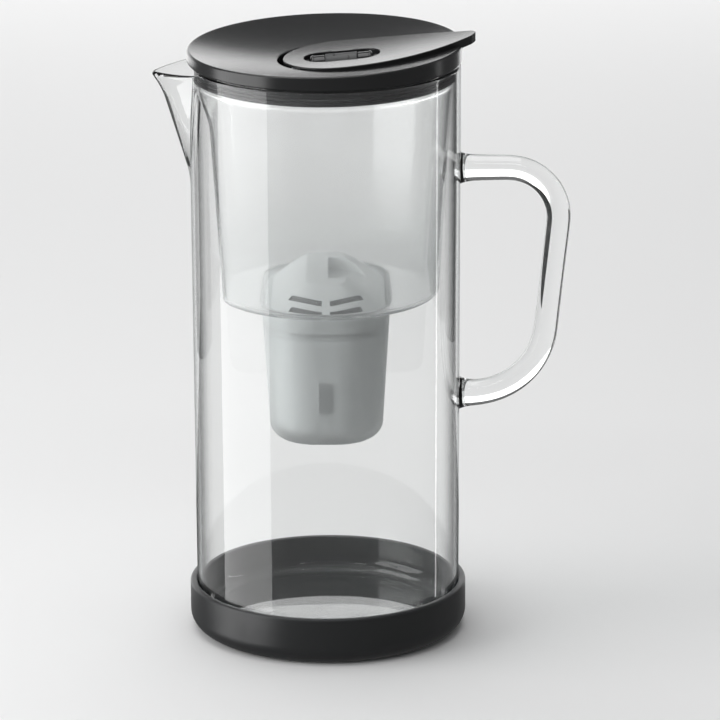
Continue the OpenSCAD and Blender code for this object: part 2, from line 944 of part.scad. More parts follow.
module reminder_axle() {
    l = 2 * (post_x + tray_t) + 0.4;
    color("silver")
        in_reminder()
            along_x(-l / 2, l, axle_d / 2, axle_d / 2);
}

glass_jug();
glass_handle();
base_boot();
hopper_shell();
hopper_seal();
cartridge_holder();
cartridge_cup();
cartridge_cap();
cartridge_screens();
filter_media();
lid_cover();
lid_liner();
flap_pin();
flap_cover();
flap_liner();
reminder_tray();
reminder_roller();
reminder_sleeves();
reminder_ends();
reminder_axle();
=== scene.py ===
# Water filter pitcher with a flip lid: a glass jug with a fused rod handle in a
# soft black boot, a lift-out hopper with its filter cartridge, and a black lid.
# Each section makes one piece, from the jug outwards to the lid's reminder.
import math

import bpy
import numpy as np
from mathutils import Matrix, Vector


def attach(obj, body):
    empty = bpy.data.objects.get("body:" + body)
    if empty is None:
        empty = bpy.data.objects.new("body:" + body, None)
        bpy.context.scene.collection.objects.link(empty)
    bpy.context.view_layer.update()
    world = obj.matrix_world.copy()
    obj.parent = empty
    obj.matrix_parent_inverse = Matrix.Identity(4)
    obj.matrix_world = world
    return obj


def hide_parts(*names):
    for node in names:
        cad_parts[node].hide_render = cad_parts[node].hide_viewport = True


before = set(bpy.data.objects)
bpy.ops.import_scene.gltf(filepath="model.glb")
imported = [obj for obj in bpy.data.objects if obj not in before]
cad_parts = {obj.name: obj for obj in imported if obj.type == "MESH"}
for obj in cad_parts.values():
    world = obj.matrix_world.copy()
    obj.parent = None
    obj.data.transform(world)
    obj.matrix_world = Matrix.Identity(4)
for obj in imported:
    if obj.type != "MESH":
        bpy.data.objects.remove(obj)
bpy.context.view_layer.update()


# The camera stands three metres off and looks down on the jug through a long
# lens, with the spout to the left and the handle to the right.
lens = bpy.data.cameras.new("camera")
lens.lens = 311.2
lens.sensor_width = 36
lens.clip_end = 60
camera = bpy.data.objects.new("camera", lens)
bpy.context.scene.collection.objects.link(camera)
camera_at = Vector((0.01608, -2.8776, 0.9813))
looks_at = Vector((0.01608, 0, 0.13308))
camera.matrix_world = (
    Matrix.Translation(camera_at)
    @ (camera_at - looks_at).to_track_quat("Z", "Y").to_matrix().to_4x4()
    @ Matrix.Rotation(math.radians(-0.272), 4, "Z")
)
bpy.context.scene.camera = camera


# The studio: a wide pale floor, a softbox on the left that draws the long pale
# band on the glass, a thin strip on the right, a large softbox above, a strip
# that lights the roller, and a low card behind that the lid's hollow mirrors.
def nodes_of(name):
    """A new material, its nodes and links, and its main shader."""
    material = bpy.data.materials.new(name)
    material.use_nodes = True
    tree = material.node_tree
    return material, tree.nodes, tree.links, tree.nodes["Principled BSDF"]


def softbox(name, at, towards, size, radiance):
    """A rectangular lamp whose power is its radiance times pi times its area."""
    lamp = bpy.data.lights.new(name, "AREA")
    lamp.shape = "RECTANGLE"
    lamp.size, lamp.size_y = size
    lamp.energy = radiance * math.pi * size[0] * size[1]
    holder = bpy.data.objects.new(name, lamp)
    at, towards = Vector(at), Vector(towards)
    turn = (at - towards).to_track_quat("Z", "Y").to_matrix().to_4x4()
    holder.matrix_world = Matrix.Translation(at) @ turn
    bpy.context.scene.collection.objects.link(holder)


floor_half = 9
floor_mesh = bpy.data.meshes.new("studio_floor")
floor_mesh.from_pydata([
    (-floor_half, -floor_half, 0), (floor_half, -floor_half, 0),
    (floor_half, floor_half, 0), (-floor_half, floor_half, 0)], [], [(0, 1, 2, 3)])
studio_floor = bpy.data.objects.new("studio_floor", floor_mesh)
bpy.context.scene.collection.objects.link(studio_floor)
paper, nodes, links, shader = nodes_of("floor_paper")
shader.inputs["Base Color"].default_value = (0.84, 0.84, 0.84, 1)
shader.inputs["Roughness"].default_value = 0.8
floor_mesh.materials.append(paper)
studio_floor.visible_glossy = False

# Two dark flags stand behind the jug. Only rays that have passed through glass
# meet them, and they draw the dark lines along its edges.
flag_cloth, nodes, links, shader = nodes_of("flag_cloth")
shader.inputs["Base Color"].default_value = (0.02, 0.02, 0.02, 1)
shader.inputs["Roughness"].default_value = 0.9
flag_foot, flag_top = 0.001, 0.8
flag_back, flag_front = 0.42, 0.22
for side, near_x in (("left", -0.26), ("right", 0.30)):
    far_x = near_x * 1.9
    mesh = bpy.data.meshes.new("flag_" + side)
    mesh.from_pydata([
        (near_x, flag_back, flag_foot), (far_x, flag_front, flag_foot),
        (far_x, flag_front, flag_top), (near_x, flag_back, flag_top)], [], [(0, 1, 2, 3)])
    mesh.materials.append(flag_cloth)
    flag = bpy.data.objects.new("flag_" + side, mesh)
    bpy.context.scene.collection.objects.link(flag)
    flag.visible_camera = flag.visible_diffuse = flag.visible_shadow = flag.visible_glossy = False

softbox("left_softbox", (-1.15, -0.39, 0.30), (-0.02, -0.39, 0.30), (1.22, 1.7), 3.3)
softbox("right_strip", (1.14, 0.37, 0.30), (0, 0.0, 0.30), (0.035, 1.6), 5.0)
softbox("top_softbox", (-0.2, 0.35, 1.9), (-0.05, 0.35, 0.0), (1.6, 1.6), 2.45)
softbox("lid_strip", (-0.1, -0.75, 1.15), (0.0, 0.0, 0.285), (1.3, 0.06), 9.0)
softbox("back_card", (-0.3, 1.75, 0.15), (-0.3, 0.0, 0.15), (2.6, 1.3), 1.9)

world = bpy.data.worlds.new("studio")
world.use_nodes = True
world.node_tree.nodes["Background"].inputs["Color"].default_value = (0.16, 0.161, 0.162, 1)
bpy.context.scene.world = world
bpy.context.scene.view_settings.view_transform = "Standard"
# Light may cross twelve walls of glass and plastic, which have two faces each.
faces_crossed = 24
bpy.context.scene.cycles.max_bounces = faces_crossed
bpy.context.scene.cycles.transmission_bounces = faces_crossed
bpy.context.scene.cycles.transparent_max_bounces = faces_crossed


# The jug is drawn from one piece of borosilicate glass: a slightly tapered
# wall on a thick floor, with the spout pulled out of the rim while it is hot.
MM = 0.001
glass_t = 2.2
foot_r, rim_r = 63.4, 64.8
foot_z, corner_r, wall_z, rim_z = 3.0, 9.0, 12.0, 281.4
inside_floor_z, inside_corner_r = 8.0, 7
spout_half = 0.305


def skin(name, rings, loop=False):
    """A closed surface over rings of equally many points, given in millimetres. Neighbouring rings
    are joined by quads. A loop of rings closes on itself; otherwise the first and last ring each
    close in a fan round their middle point."""
    rings = np.asarray(rings, float) * MM
    count, around = rings.shape[:2]
    points = rings.reshape(-1, 3)
    i = np.arange(count if loop else count - 1)[:, None]
    j = np.arange(around)[None, :]
    k = (j + 1) % around
    n = (i + 1) % count
    quads = np.stack([i * around + j, i * around + k, n * around + k, n * around + j], -1)
    quads = quads.reshape(-1, 4)
    fans = np.zeros((0, 3), int)
    if not loop:
        middle = np.stack([rings[0].mean(0), rings[-1].mean(0)])
        points = np.concatenate([points, middle])
        a, b = j[0], k[0]
        last = (count - 1) * around
        fans = np.concatenate([
            np.stack([b, a, np.full(around, count * around)], -1),
            np.stack([last + a, last + b, np.full(around, count * around + 1)], -1)])
    return built(name, points, quads, fans)


def built(name, points, quads, fans):
    """A smooth mesh of quads and triangles, turned so that the volume that they enclose is
    positive."""
    corners = np.concatenate([quads[:, [0, 1, 2]], quads[:, [0, 2, 3]], fans])
    p = points[corners]
    if np.einsum("ij,ij->i", p[:, 0], np.cross(p[:, 1], p[:, 2])).sum() < 0:
        quads, fans = quads[:, ::-1], fans[:, ::-1]
    loops = np.concatenate([quads.ravel(), fans.ravel()])
    starts = np.concatenate([np.arange(len(quads)) * 4, len(quads) * 4 + np.arange(len(fans)) * 3])
    return meshed(name, points, loops, starts)


def meshed(name, points, loops, starts):
    """An object with a smooth mesh: loops lists the points of all faces, and starts says where in
    it each face begins."""
    mesh = bpy.data.meshes.new(name)
    mesh.vertices.add(len(points))
    mesh.vertices.foreach_set("co", points.ravel())
    mesh.loops.add(len(loops))
    mesh.loops.foreach_set("vertex_index", loops.astype(np.int32))
    mesh.polygons.add(len(starts))
    mesh.polygons.foreach_set("loop_start", starts.astype(np.int32))
    mesh.update(calc_edges=True)
    mesh.validate()
    mesh.polygons.foreach_set("use_smooth", np.ones(len(mesh.polygons), bool))
    piece = bpy.data.objects.new(name, mesh)
    bpy.context.scene.collection.objects.link(piece)
    return piece


def ring(radius, z, angles):
    """Points round the axis: (radius cos angle, radius sin angle, z), where radius and z are one
    number or one each."""
    return np.stack([radius * np.cos(angles), radius * np.sin(angles), z + 0 * angles], -1)


def arc(centre, radius, start, stop, steps):
    """Points (x, z) on a circle between two angles in degrees."""
    a = np.radians(np.linspace(start, stop, steps))
    return np.stack([centre[0] + radius * np.cos(a), centre[1] + radius * np.sin(a)], -1)


def wall_radius(z):
    """The glass's outer radius, straight from the foot to the rim."""
    return foot_r + (rim_r - foot_r) * (z - wall_z) / (rim_z - wall_z)


def spout_reach(z):
    """How far the spout's inner crease stands out of the wall: a soft start, a straight slope, and
    a flare at the tip that grows with the square of the height."""
    start_z, soft, slope = 226.3, 2.5, 0.300
    flare_z, flare_h, flare = 264, 13.6, 3.0
    rise = soft * np.logaddexp(0, (z - start_z) / soft)
    return slope * rise + flare * np.clip((z - flare_z) / flare_h, 0, 2) ** 2


def spout_share(away, z):
    """1 in the middle of the spout, 0 on the plain wall: a roof with a rounded ridge and eaves,
    whose half-width in radians grows with height."""
    half = spout_half * np.clip((z - 221) / 57, 0.02, 2) ** 0.75
    ridge, eaves = 0.04, 0.06
    t = np.sqrt((away / half) ** 2 + ridge ** 2) - ridge
    return eaves * np.logaddexp(0, (1 - t) / eaves)


near = np.radians(26)
fine = np.linspace(-near, near, 150)
coarse = np.linspace(near, 2 * math.pi - near, 230)[1:-1]
away = np.concatenate([fine, coarse])
angles = math.pi + away
away = np.abs((away + math.pi) % (2 * math.pi) - math.pi)

lift = np.concatenate([np.linspace(0, 0.72, 30), np.linspace(0.72, 1, 62)[1:]])[:, None]
# The spout's lip dips below the rim, and comes back up to it in a smooth step.
tipped = away / spout_half
back_up = np.clip((tipped - 0.9) / 0.5, 0, 1)
dip = 3.9 * (1 - 0.45 * np.clip(tipped, 0, 1)) * (1 - back_up ** 2 * (3 - 2 * back_up))
lip_z = rim_z - glass_t / 2 - dip
wall_foot = inside_floor_z + inside_corner_r
heights = wall_foot + lift * (lip_z[None, :] - wall_foot)
share = spout_share(away[None, :], heights)
inner = ring(wall_radius(heights) - glass_t + spout_reach(heights) * share, heights,
             angles[None, :].repeat(len(lift), 0))
up = np.gradient(inner, axis=0)
side = (np.roll(inner, -1, 1) - np.roll(inner, 1, 1))
out = np.cross(side, up)
out /= np.linalg.norm(out, axis=2, keepdims=True)
outer = inner + glass_t * out
rise = up[-1] / np.linalg.norm(up[-1], axis=1, keepdims=True)
middle = (inner[-1] + outer[-1]) / 2
half_t = (outer[-1] - inner[-1]) / 2
turn = np.radians(np.linspace(0, 180, 9))[1:-1, None, None]
bead = middle - half_t * np.cos(turn) + rise * (glass_t / 2) * np.sin(turn)

inner_corner = arc((wall_radius(wall_foot) - glass_t - inside_corner_r, wall_foot),
                   inside_corner_r, 0, -90, 9)[1:]
inner_floor = np.linspace(inner_corner[-1][0], 1.5, 8)[1:]
outer_corner = arc((foot_r - corner_r, wall_z), corner_r, -4, -90, 10)
outer_floor = np.linspace(outer_corner[-1][0], 1.5, 8)[1:]
rings = [ring(r, inside_floor_z - 0.5 * (1 - (r / 56) ** 2), angles) for r in inner_floor[::-1]]
rings += [ring(r, z, angles) for r, z in inner_corner[::-1]]
rings += list(inner) + list(bead) + list(outer[::-1])
rings += [ring(r, z, angles) for r, z in outer_corner]
rings += [ring(r, foot_z, angles) for r in outer_floor]
jug = skin("jug_glass", rings)


# The handle is one solid glass rod, bent to a D while soft and fused to the
# wall; it swells at both welds and is a little thinner in the grip.
def rod_path():
    """The rod's middle line in the XZ plane: an arm, a bend, the leaning grip, a wide bend and an
    arm, walked in small steps and then smoothed by a moving average so that the bends begin
    softly."""
    weld_x, grip_lean = 62.9, -6.4
    top, top_r = (87.6, 204.7), 24
    low, low_r = (69.7, 152.6), 36
    arm_top = np.stack([np.linspace(weld_x, top[0], 50), np.full(50, top[1] + top_r)], -1)
    bend_top = arc(top, top_r, 90, grip_lean, 80)
    bend_low = arc(low, low_r, grip_lean, -90, 110)
    grip = np.linspace(bend_top[-1], bend_low[0], 80)
    arm_low = np.stack([np.linspace(low[0], weld_x, 16), np.full(16, low[1] - low_r)], -1)
    line = np.concatenate([arm_top, bend_top[1:], grip[1:], bend_low[1:], arm_low[1:]])
    length = np.concatenate([[0], np.cumsum(np.linalg.norm(np.diff(line, axis=0), axis=1))])
    even = np.linspace(0, length[-1], 260)
    line = np.stack([np.interp(even, length, line[:, 0]), np.interp(even, length, line[:, 1])], -1)
    padded = np.concatenate([np.repeat(line[:1], 6, 0), line, np.repeat(line[-1:], 6, 0)])
    smooth = np.stack([np.convolve(padded[:, k], np.ones(13) / 13, "valid") for k in (0, 1)], -1)
    ends = np.clip(np.minimum(even, length[-1] - even) / 12, 0, 1)[:, None]
    return line * (1 - ends) + smooth * ends, even


line, along = rod_path()
from_end = np.minimum(along, along[-1] - along)
grip_at = np.abs(along - 0.5 * along[-1] - 4) / 42
rod_r = 6.0
thick = (rod_r + 0.9 * np.exp(-from_end / 9) + 1.3 * np.exp(-(from_end / 3.2) ** 1.5)
         - 0.4 * np.exp(-grip_at ** 2))
tangent = np.gradient(line, axis=0)
tangent /= np.linalg.norm(tangent, axis=1, keepdims=True)
about = np.linspace(0, 2 * math.pi, 48, endpoint=False)
c, s = np.cos(about)[None, :], np.sin(about)[None, :]
rod = np.stack([
    line[:, :1] - tangent[:, 1:] * c * thick[:, None],
    s * thick[:, None],
    line[:, 1:] + tangent[:, :1] * c * thick[:, None]], -1)
handle = skin("jug_handle", rod)


def carved(piece, tool, operation):
    """Gives the piece the mesh of an exact boolean with the tool, which is then gone. Cut faces
    keep the tool's material."""
    step = piece.modifiers.new("join", "BOOLEAN")
    step.operation = operation
    step.solver = "EXACT"
    step.object = tool
    step.material_mode = "TRANSFER"
    bpy.context.view_layer.update()
    depsgraph = bpy.context.evaluated_depsgraph_get()
    done = bpy.data.meshes.new_from_object(piece.evaluated_get(depsgraph))
    piece.modifiers.clear()
    piece.data = done
    bpy.data.objects.remove(tool)


carved(jug, handle, "UNION")
jug.data.polygons.foreach_set("use_smooth", np.ones(len(jug.data.polygons), bool))

# The glass has faint waves from drawing. A painted shade darkens it where it is
# looked at along the wall, for the dark lines along its edges. Shadow rays go
# straight through it with a tint.
glass_ior = 1.47
glass, nodes, links, shader = nodes_of("jug_glass")
shader.inputs["Base Color"].default_value = (0.985, 0.99, 0.988, 1)
shader.inputs["Roughness"].default_value = 0.0
shader.inputs["IOR"].default_value = glass_ior
shader.inputs["Transmission Weight"].default_value = 1.0
where = nodes.new("ShaderNodeTexCoord")
waves = nodes.new("ShaderNodeTexNoise")
waves.inputs["Scale"].default_value = 16
waves.inputs["Detail"].default_value = 1
draw_marks = nodes.new("ShaderNodeMapping")
draw_marks.inputs["Scale"].default_value = (1, 1, 0.35)
dent = nodes.new("ShaderNodeBump")
dent.inputs["Strength"].default_value = 0.25
dent.inputs["Distance"].default_value = 0.0006
links.new(where.outputs["Object"], draw_marks.inputs["Vector"])
links.new(draw_marks.outputs["Vector"], waves.inputs["Vector"])
links.new(waves.outputs["Fac"], dent.inputs["Height"])
links.new(dent.outputs["Normal"], shader.inputs["Normal"])
see_through = nodes.new("ShaderNodeBsdfTransparent")
see_through.inputs["Color"].default_value = (0.86, 0.88, 0.88, 1)
path = nodes.new("ShaderNodeLightPath")
blend = nodes.new("ShaderNodeMixShader")
# Painted shade: this dark glass is mixed in as the wall turns edge-on, and draws the dark lines
# along the glass's edges.
edge_painted_shade = nodes.new("ShaderNodeBsdfGlass")
edge_painted_shade.inputs["Color"].default_value = (0.20, 0.21, 0.21, 1)
edge_painted_shade.inputs["Roughness"].default_value = 0.0
edge_painted_shade.inputs["IOR"].default_value = glass_ior
facing = nodes.new("ShaderNodeLayerWeight")
facing.inputs["Blend"].default_value = 0.5
limb = nodes.new("ShaderNodeMapRange")
limb.interpolation_type = "SMOOTHSTEP"
limb.inputs["From Min"].default_value = 0.55
limb.inputs["From Max"].default_value = 0.97
limb.inputs["To Max"].default_value = 0.9
edge_shade_mix = nodes.new("ShaderNodeMixShader")
links.new(facing.outputs["Facing"], limb.inputs["Value"])
links.new(limb.outputs["Result"], edge_shade_mix.inputs["Fac"])
links.new(shader.outputs["BSDF"], edge_shade_mix.inputs[1])
links.new(edge_painted_shade.outputs["BSDF"], edge_shade_mix.inputs[2])
links.new(path.outputs["Is Shadow Ray"], blend.inputs["Fac"])
links.new(edge_shade_mix.outputs["Shader"], blend.inputs[1])
links.new(see_through.outputs["BSDF"], blend.inputs[2])
links.new(blend.outputs["Shader"], nodes["Material Output"].inputs["Surface"])
jug.data.materials.clear()
jug.data.materials.append(glass)
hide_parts("glass_jug", "glass_handle")
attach(jug, "jug")


# The boot is a deep cup of soft black rubber that the glass's foot is pushed
# into. Its lower edge is well rounded and its skin is a fine satin.
def satin_skin():
    """A shared effect for moulded skins: a fine grain and slow cloudy changes, put out as a
    roughness and as a height. Both are noise in object space; the roughness runs from Low to
    High."""
    group = bpy.data.node_groups.new("satin_skin", "ShaderNodeTree")
    for name, kind, value in (("Vector", "NodeSocketVector", None),
                              ("Grain", "NodeSocketFloat", 2500.0),
                              ("Low", "NodeSocketFloat", 0.3), ("High", "NodeSocketFloat", 0.4)):
        socket = group.interface.new_socket(name, in_out="INPUT", socket_type=kind)
        if value is not None:
            socket.default_value = value
    for name in ("Roughness", "Height"):
        group.interface.new_socket(name, in_out="OUTPUT", socket_type="NodeSocketFloat")
    enter, leave = group.nodes.new("NodeGroupInput"), group.nodes.new("NodeGroupOutput")
    grain, cloud = group.nodes.new("ShaderNodeTexNoise"), group.nodes.new("ShaderNodeTexNoise")
    grain.inputs["Detail"].default_value = 2
    cloud.inputs["Scale"].default_value = 28
    cloud.inputs["Detail"].default_value = 3
    spread = group.nodes.new("ShaderNodeMapRange")
    join = group.links.new
    for noise in (grain, cloud):
        join(enter.outputs["Vector"], noise.inputs["Vector"])
    join(enter.outputs["Grain"], grain.inputs["Scale"])
    join(cloud.outputs["Fac"], spread.inputs["Value"])
    spread.inputs["From Min"].default_value = 0.3
    spread.inputs["From Max"].default_value = 0.7
    join(enter.outputs["Low"], spread.inputs["To Min"])
    join(enter.outputs["High"], spread.inputs["To Max"])
    join(spread.outputs["Result"], leave.inputs["Roughness"])
    join(grain.outputs["Fac"], leave.inputs["Height"])
    return group


satin = satin_skin()


def moulded(name, colour, low, high, grain=2500.0, depth=0.00002, strength=0.3):
    """A moulded plastic or rubber with the shared skin on it."""
    material, nodes, links, shader = nodes_of(name)
    shader.inputs["Base Color"].default_value = (*colour, 1)
    where = nodes.new("ShaderNodeTexCoord")
    skin_node = nodes.new("ShaderNodeGroup")
    skin_node.node_tree = satin
    skin_node.inputs["Grain"].default_value = grain
    skin_node.inputs["Low"].default_value = low
    skin_node.inputs["High"].default_value = high
    bump = nodes.new("ShaderNodeBump")
    bump.inputs["Strength"].default_value = strength
    bump.inputs["Distance"].default_value = depth
    links.new(where.outputs["Object"], skin_node.inputs["Vector"])
    links.new(skin_node.outputs["Roughness"], shader.inputs["Roughness"])
    links.new(skin_node.outputs["Height"], bump.inputs["Height"])
    links.new(bump.outputs["Normal"], shader.inputs["Normal"])
    return material, nodes, links, shader


angles = np.linspace(0, 2 * math.pi, 240, endpoint=False)
boot_r, boot_h, boot_edge = 66.85, 23.6, 9.0
profile = np.concatenate([
    [[2, 0]], [[30, 0]], [[boot_r - boot_edge, 0]],
    arc((boot_r - boot_edge, boot_edge), boot_edge, -80, 0, 12),
    [[boot_r, 16]], arc((boot_r - 1.2, boot_h - 1.2), 1.2, 0, 90, 6),
    arc((wall_radius(23) + 1.0, boot_h - 0.8), 0.8, 90, 180, 6),
    [[wall_radius(16) + 0.2, 16]],
    arc((foot_r - corner_r, wall_z), corner_r + 0.2, -4, -80, 9),
    [[54, 2.9]], [[30, 2.9]], [[2, 2.9]]])
boot = skin("boot_rubber", [ring(r, z, angles) for r, z in profile])
rubber, nodes, links, shader = moulded(
    "boot_rubber", (0.022, 0.023, 0.024), 0.36, 0.46, 1800, 0.00004)
boot.data.materials.append(rubber)
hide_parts("base_boot")
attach(boot, "jug")


# The hopper is moulded from clear grey plastic: a cone that hangs by a thin
# flange on the glass rim, with a flat towards the spout that flares out on top.
hopper_t = 1.8
seal_z = 274.4
seal_r = wall_radius(seal_z) - glass_t - 0.3
collar_r = seal_r - 1.9
hopper_foot, hopper_floor, seat_z = 168, 169.8, 282.4
angles = np.linspace(0, 2 * math.pi, 320, endpoint=False)


def hopper_radius(z, depth):
    """Radius of the hopper's outside, or of a surface depth inside it: the smaller of a cone and of
    a flat across the spout's side, blended with a soft minimum. The flat leans out with height and
    ends in an arc."""
    cone_slope, soft = 0.065, 0.9
    flat_x, flat_out, flat_h, flare_r = 48.9, 5.1, 83, 22
    cone = collar_r + 0.6 - cone_slope * (seal_z - z) - depth
    above = min(max(z - hopper_foot - flat_h, 0), flare_r - 0.1)
    flat = (flat_x + flat_out * min(z - hopper_foot, flat_h) / flat_h
            + flare_r - math.sqrt(flare_r ** 2 - above ** 2) - depth)
    facing = np.clip(-np.cos(angles), 0.02, 1)
    return -soft * np.logaddexp(-cone / soft, -np.minimum(flat / facing, 400) / soft)


def reach(half_x, half_y, corner, angles):
    """Distance from the middle to a rounded rectangle in each direction, found by halving steps in
    its distance field: the length of the part beyond the corner's centre, less the corner's
    radius."""
    low, high = np.zeros_like(angles), np.full_like(angles, half_x + half_y)
    for _ in range(30):
        mid = (low + high) / 2
        qx = np.abs(mid * np.cos(angles)) - half_x + corner
        qy = np.abs(mid * np.sin(angles)) - half_y + corner
        gap = np.hypot(np.maximum(qx, 0), np.maximum(qy, 0))
        gap += np.minimum(np.maximum(qx, qy), 0) - corner
        low, high = np.where(gap < 0, mid, low), np.where(gap < 0, high, mid)
    return low


collar_in = collar_r - hopper_t
opening = reach(30.75, 49.55, 26, angles)
floor_under, floor_over = hopper_radius(hopper_foot, 3), hopper_radius(hopper_floor, 3.6)
rings = [ring(r, z, angles) for r, z in (
    (64.3, seat_z), (64.55, 282.3), (64.6, 282.1), (64.6, 281.7), (64.55, 281.5), (64.3, 281.42),
    (collar_r + 0.3, rim_z), (collar_r, 281.1), (collar_r, 274.8), (collar_r + 0.3, seal_z),
    (60.6, seal_z))]
rings += [ring(hopper_radius(z, 0), z, angles) for z in np.linspace(274.0, 171.2, 60)]
rings += [ring(hopper_radius(z, 57.1 - x), z, angles)
          for x, z in arc((54.1, 171), 3, -8, -90, 8)]
rings += [ring(opening + (floor_under - opening) * share, hopper_foot, angles)
          for share in (0.75, 0.5, 0.25, 0.06, 0.0)]
rings += [ring(opening + (floor_over - opening) * share, hopper_floor, angles)
          for share in (0.0, 0.06, 0.25, 0.5, 0.75, 1.0)]
rings += [ring(hopper_radius(z, hopper_t + 1.8 - x), z, angles)
          for x, z in arc((0, hopper_floor + 1.8), 1.8, -80, 0, 6)]
rings += [ring(hopper_radius(z, hopper_t), z, angles) for z in np.linspace(173, 272.0, 56)]
rings += [ring(r, z, angles) for r, z in (
    (collar_in + 0.2, 272.9), (collar_in, 273.6), (collar_in, 282.0), (collar_in + 0.3, 282.35),
    (collar_in + 0.6, seat_z))]
hopper = skin("hopper_shell", rings, loop=True)


def clear_plastic(name, colour, roughness, milk, milk_colour, milk_low=None):
    """Moulded plastic that light goes through: a rough refraction with a share of scattering inside
    it, which is the milk, and which may change to milk_low towards the bottom. A fine noise moves
    the roughness, and shadow rays pass with a tint."""
    material, nodes, links, shader = nodes_of(name)
    shader.inputs["Base Color"].default_value = (*colour, 1)
    shader.inputs["IOR"].default_value = 1.5
    shader.inputs["Transmission Weight"].default_value = 1.0
    where = nodes.new("ShaderNodeTexCoord")
    skin_node = nodes.new("ShaderNodeGroup")
    skin_node.node_tree = satin
    skin_node.inputs["Grain"].default_value = 900
    skin_node.inputs["Low"].default_value = roughness * 0.9
    skin_node.inputs["High"].default_value = roughness * 1.15
    links.new(where.outputs["Object"], skin_node.inputs["Vector"])
    links.new(skin_node.outputs["Roughness"], shader.inputs["Roughness"])
    cloud = nodes.new("ShaderNodeBsdfTranslucent")
    cloud.inputs["Color"].default_value = (*milk_colour, 1)
    face = nodes.new("ShaderNodeBsdfDiffuse")
    face.inputs["Color"].default_value = (*milk_colour, 1)
    both, mix, passing = (nodes.new("ShaderNodeMixShader") for _ in range(3))
    both.inputs["Fac"].default_value = 0.5
    mix.inputs["Fac"].default_value = milk
    if milk_low is not None:
        split, fade = nodes.new("ShaderNodeSeparateXYZ"), nodes.new("ShaderNodeMapRange")
        fade.interpolation_type = "SMOOTHSTEP"
        for socket, value in (("From Min", 0.172), ("From Max", 0.232),
                              ("To Min", milk_low), ("To Max", milk)):
            fade.inputs[socket].default_value = value
        links.new(where.outputs["Object"], split.inputs["Vector"])
        links.new(split.outputs["Z"], fade.inputs["Value"])
        links.new(fade.outputs["Result"], mix.inputs["Fac"])
    links.new(cloud.outputs["BSDF"], both.inputs[1])
    links.new(face.outputs["BSDF"], both.inputs[2])
    links.new(shader.outputs["BSDF"], mix.inputs[1])
    links.new(both.outputs["Shader"], mix.inputs[2])
    clear = nodes.new("ShaderNodeBsdfTransparent")
    clear.inputs["Color"].default_value = (*colour, 1)
    path = nodes.new("ShaderNodeLightPath")
    links.new(path.outputs["Is Shadow Ray"], passing.inputs["Fac"])
    links.new(mix.outputs["Shader"], passing.inputs[1])
    links.new(clear.outputs["BSDF"], passing.inputs[2])
    links.new(passing.outputs["Shader"], nodes["Material Output"].inputs["Surface"])
    return material


hopper.data.materials.append(clear_plastic(
    "hopper_plastic", (0.97, 0.972, 0.972), 0.07, 0.03, (0.60, 0.61, 0.61), 0.20))
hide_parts("hopper_shell")
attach(hopper, "hopper")


# The seal is a soft black ring round the hopper's collar. Four rounded ribs
# touch the inside of the glass rim.
seal_h, rib_h, rib_count = 7.0, 0.55, 4
up_seal = np.linspace(0, 1, 97)
ribs = seal_r - rib_h + rib_h * np.abs(np.sin(math.pi * rib_count * up_seal)) ** 0.7
inside = collar_r + 0.05
seal_profile = np.concatenate([
    np.stack([ribs, seal_z + seal_h * up_seal], -1), [[inside, seal_z + seal_h], [inside, seal_z]]])
seal_angles = np.linspace(0, 2 * math.pi, 240, endpoint=False)
seal = skin("hopper_seal", [ring(r, z, seal_angles) for r, z in seal_profile], loop=True)
seal.data.set_sharp_from_angle(angle=math.radians(60))
seal_rubber, nodes, links, shader = moulded(
    "seal_rubber", (0.018, 0.018, 0.019), 0.30, 0.40, 3000, 0.00002)
seal.data.materials.append(seal_rubber)
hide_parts("hopper_seal")
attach(seal, "hopper")


# The holder is a deep tub of frosted plastic under the hopper's floor. A ledge
# inside it carries the cartridge, and a hole in its floor is the outlet.
holder_z, holder_top_z, holder_t = 102.5, 169.8, 1.8
ledge_z, outlet_r, draw_in = 159.8, 3.5, 0.062
tub_x, tub_y, tub_corner = 30.68, 49.48, 26
tub_angles = np.linspace(0, 2 * math.pi, 288, endpoint=False)


def tub_radius(z, depth):
    """Radius of the holder's outside, or of a surface depth inside it: a rounded rectangle that
    draws in by a fixed share of the distance below its top."""
    inset = (holder_top_z - z) * draw_in + depth
    return reach(tub_x - inset, tub_y - inset, max(tub_corner - inset, 1.5), tub_angles)


rings = [ring(tub_radius(holder_top_z, d), z, tub_angles) for d, z in (
    (1.4, holder_top_z), (0.6, holder_top_z), (0.3, 169.75), (0.1, 169.5))]
rings += [ring(tub_radius(z, 0.08), z, tub_angles) for z in np.linspace(169, 111.5, 30)]
rings += [ring(tub_radius(z, 8 - x), z, tub_angles) for x, z in arc((0, 110.5), 8, 0, -90, 12)]
across = tub_radius(holder_z, 8) - outlet_r
rings += [ring(outlet_r + across * share, holder_z, tub_angles)
          for share in (0.8, 0.6, 0.4, 0.2, 0.06, 0.0)]
rings += [ring(outlet_r + across * share, holder_z + holder_t, tub_angles)
          for share in (0.0, 0.06, 0.2, 0.4, 0.6, 0.8)]
rings += [ring(tub_radius(z, 8.4 - x), z, tub_angles) for x, z in arc((0, 110.9), 6.6, -90, 0, 10)]
rings += [ring(tub_radius(z, holder_t), z, tub_angles) for z in np.linspace(112, 156.2, 24)]
rings += [ring(tub_radius(z, d), z, tub_angles) for d, z in (
    (2.4, 156.5), (3.3, 156.8), (3.4, 157.0), (3.4, 159.5), (3.3, 159.75), (3.1, ledge_z),
    (2.1, ledge_z), (1.85, 159.95), (holder_t, 160.3), (holder_t, 165), (holder_t, 169.4),
    (1.7, 169.7))]
holder = skin("cartridge_holder", rings, loop=True)
holder.data.materials.append(clear_plastic(
    "holder_frost", (0.88, 0.885, 0.885), 0.34, 0.24, (0.64, 0.65, 0.65)))
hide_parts("cartridge_holder")
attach(holder, "hopper")


# The cartridge is a white oval cup of granules between two fine screens, with
# a domed cap; its flange hangs on the holder's ledge.
def paint(material, *names):
    """Gives CAD nodes a material in place of the one that they came with."""
    for name in names:
        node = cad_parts[name]
        node.data.materials.clear()
        node.data.materials.append(material)


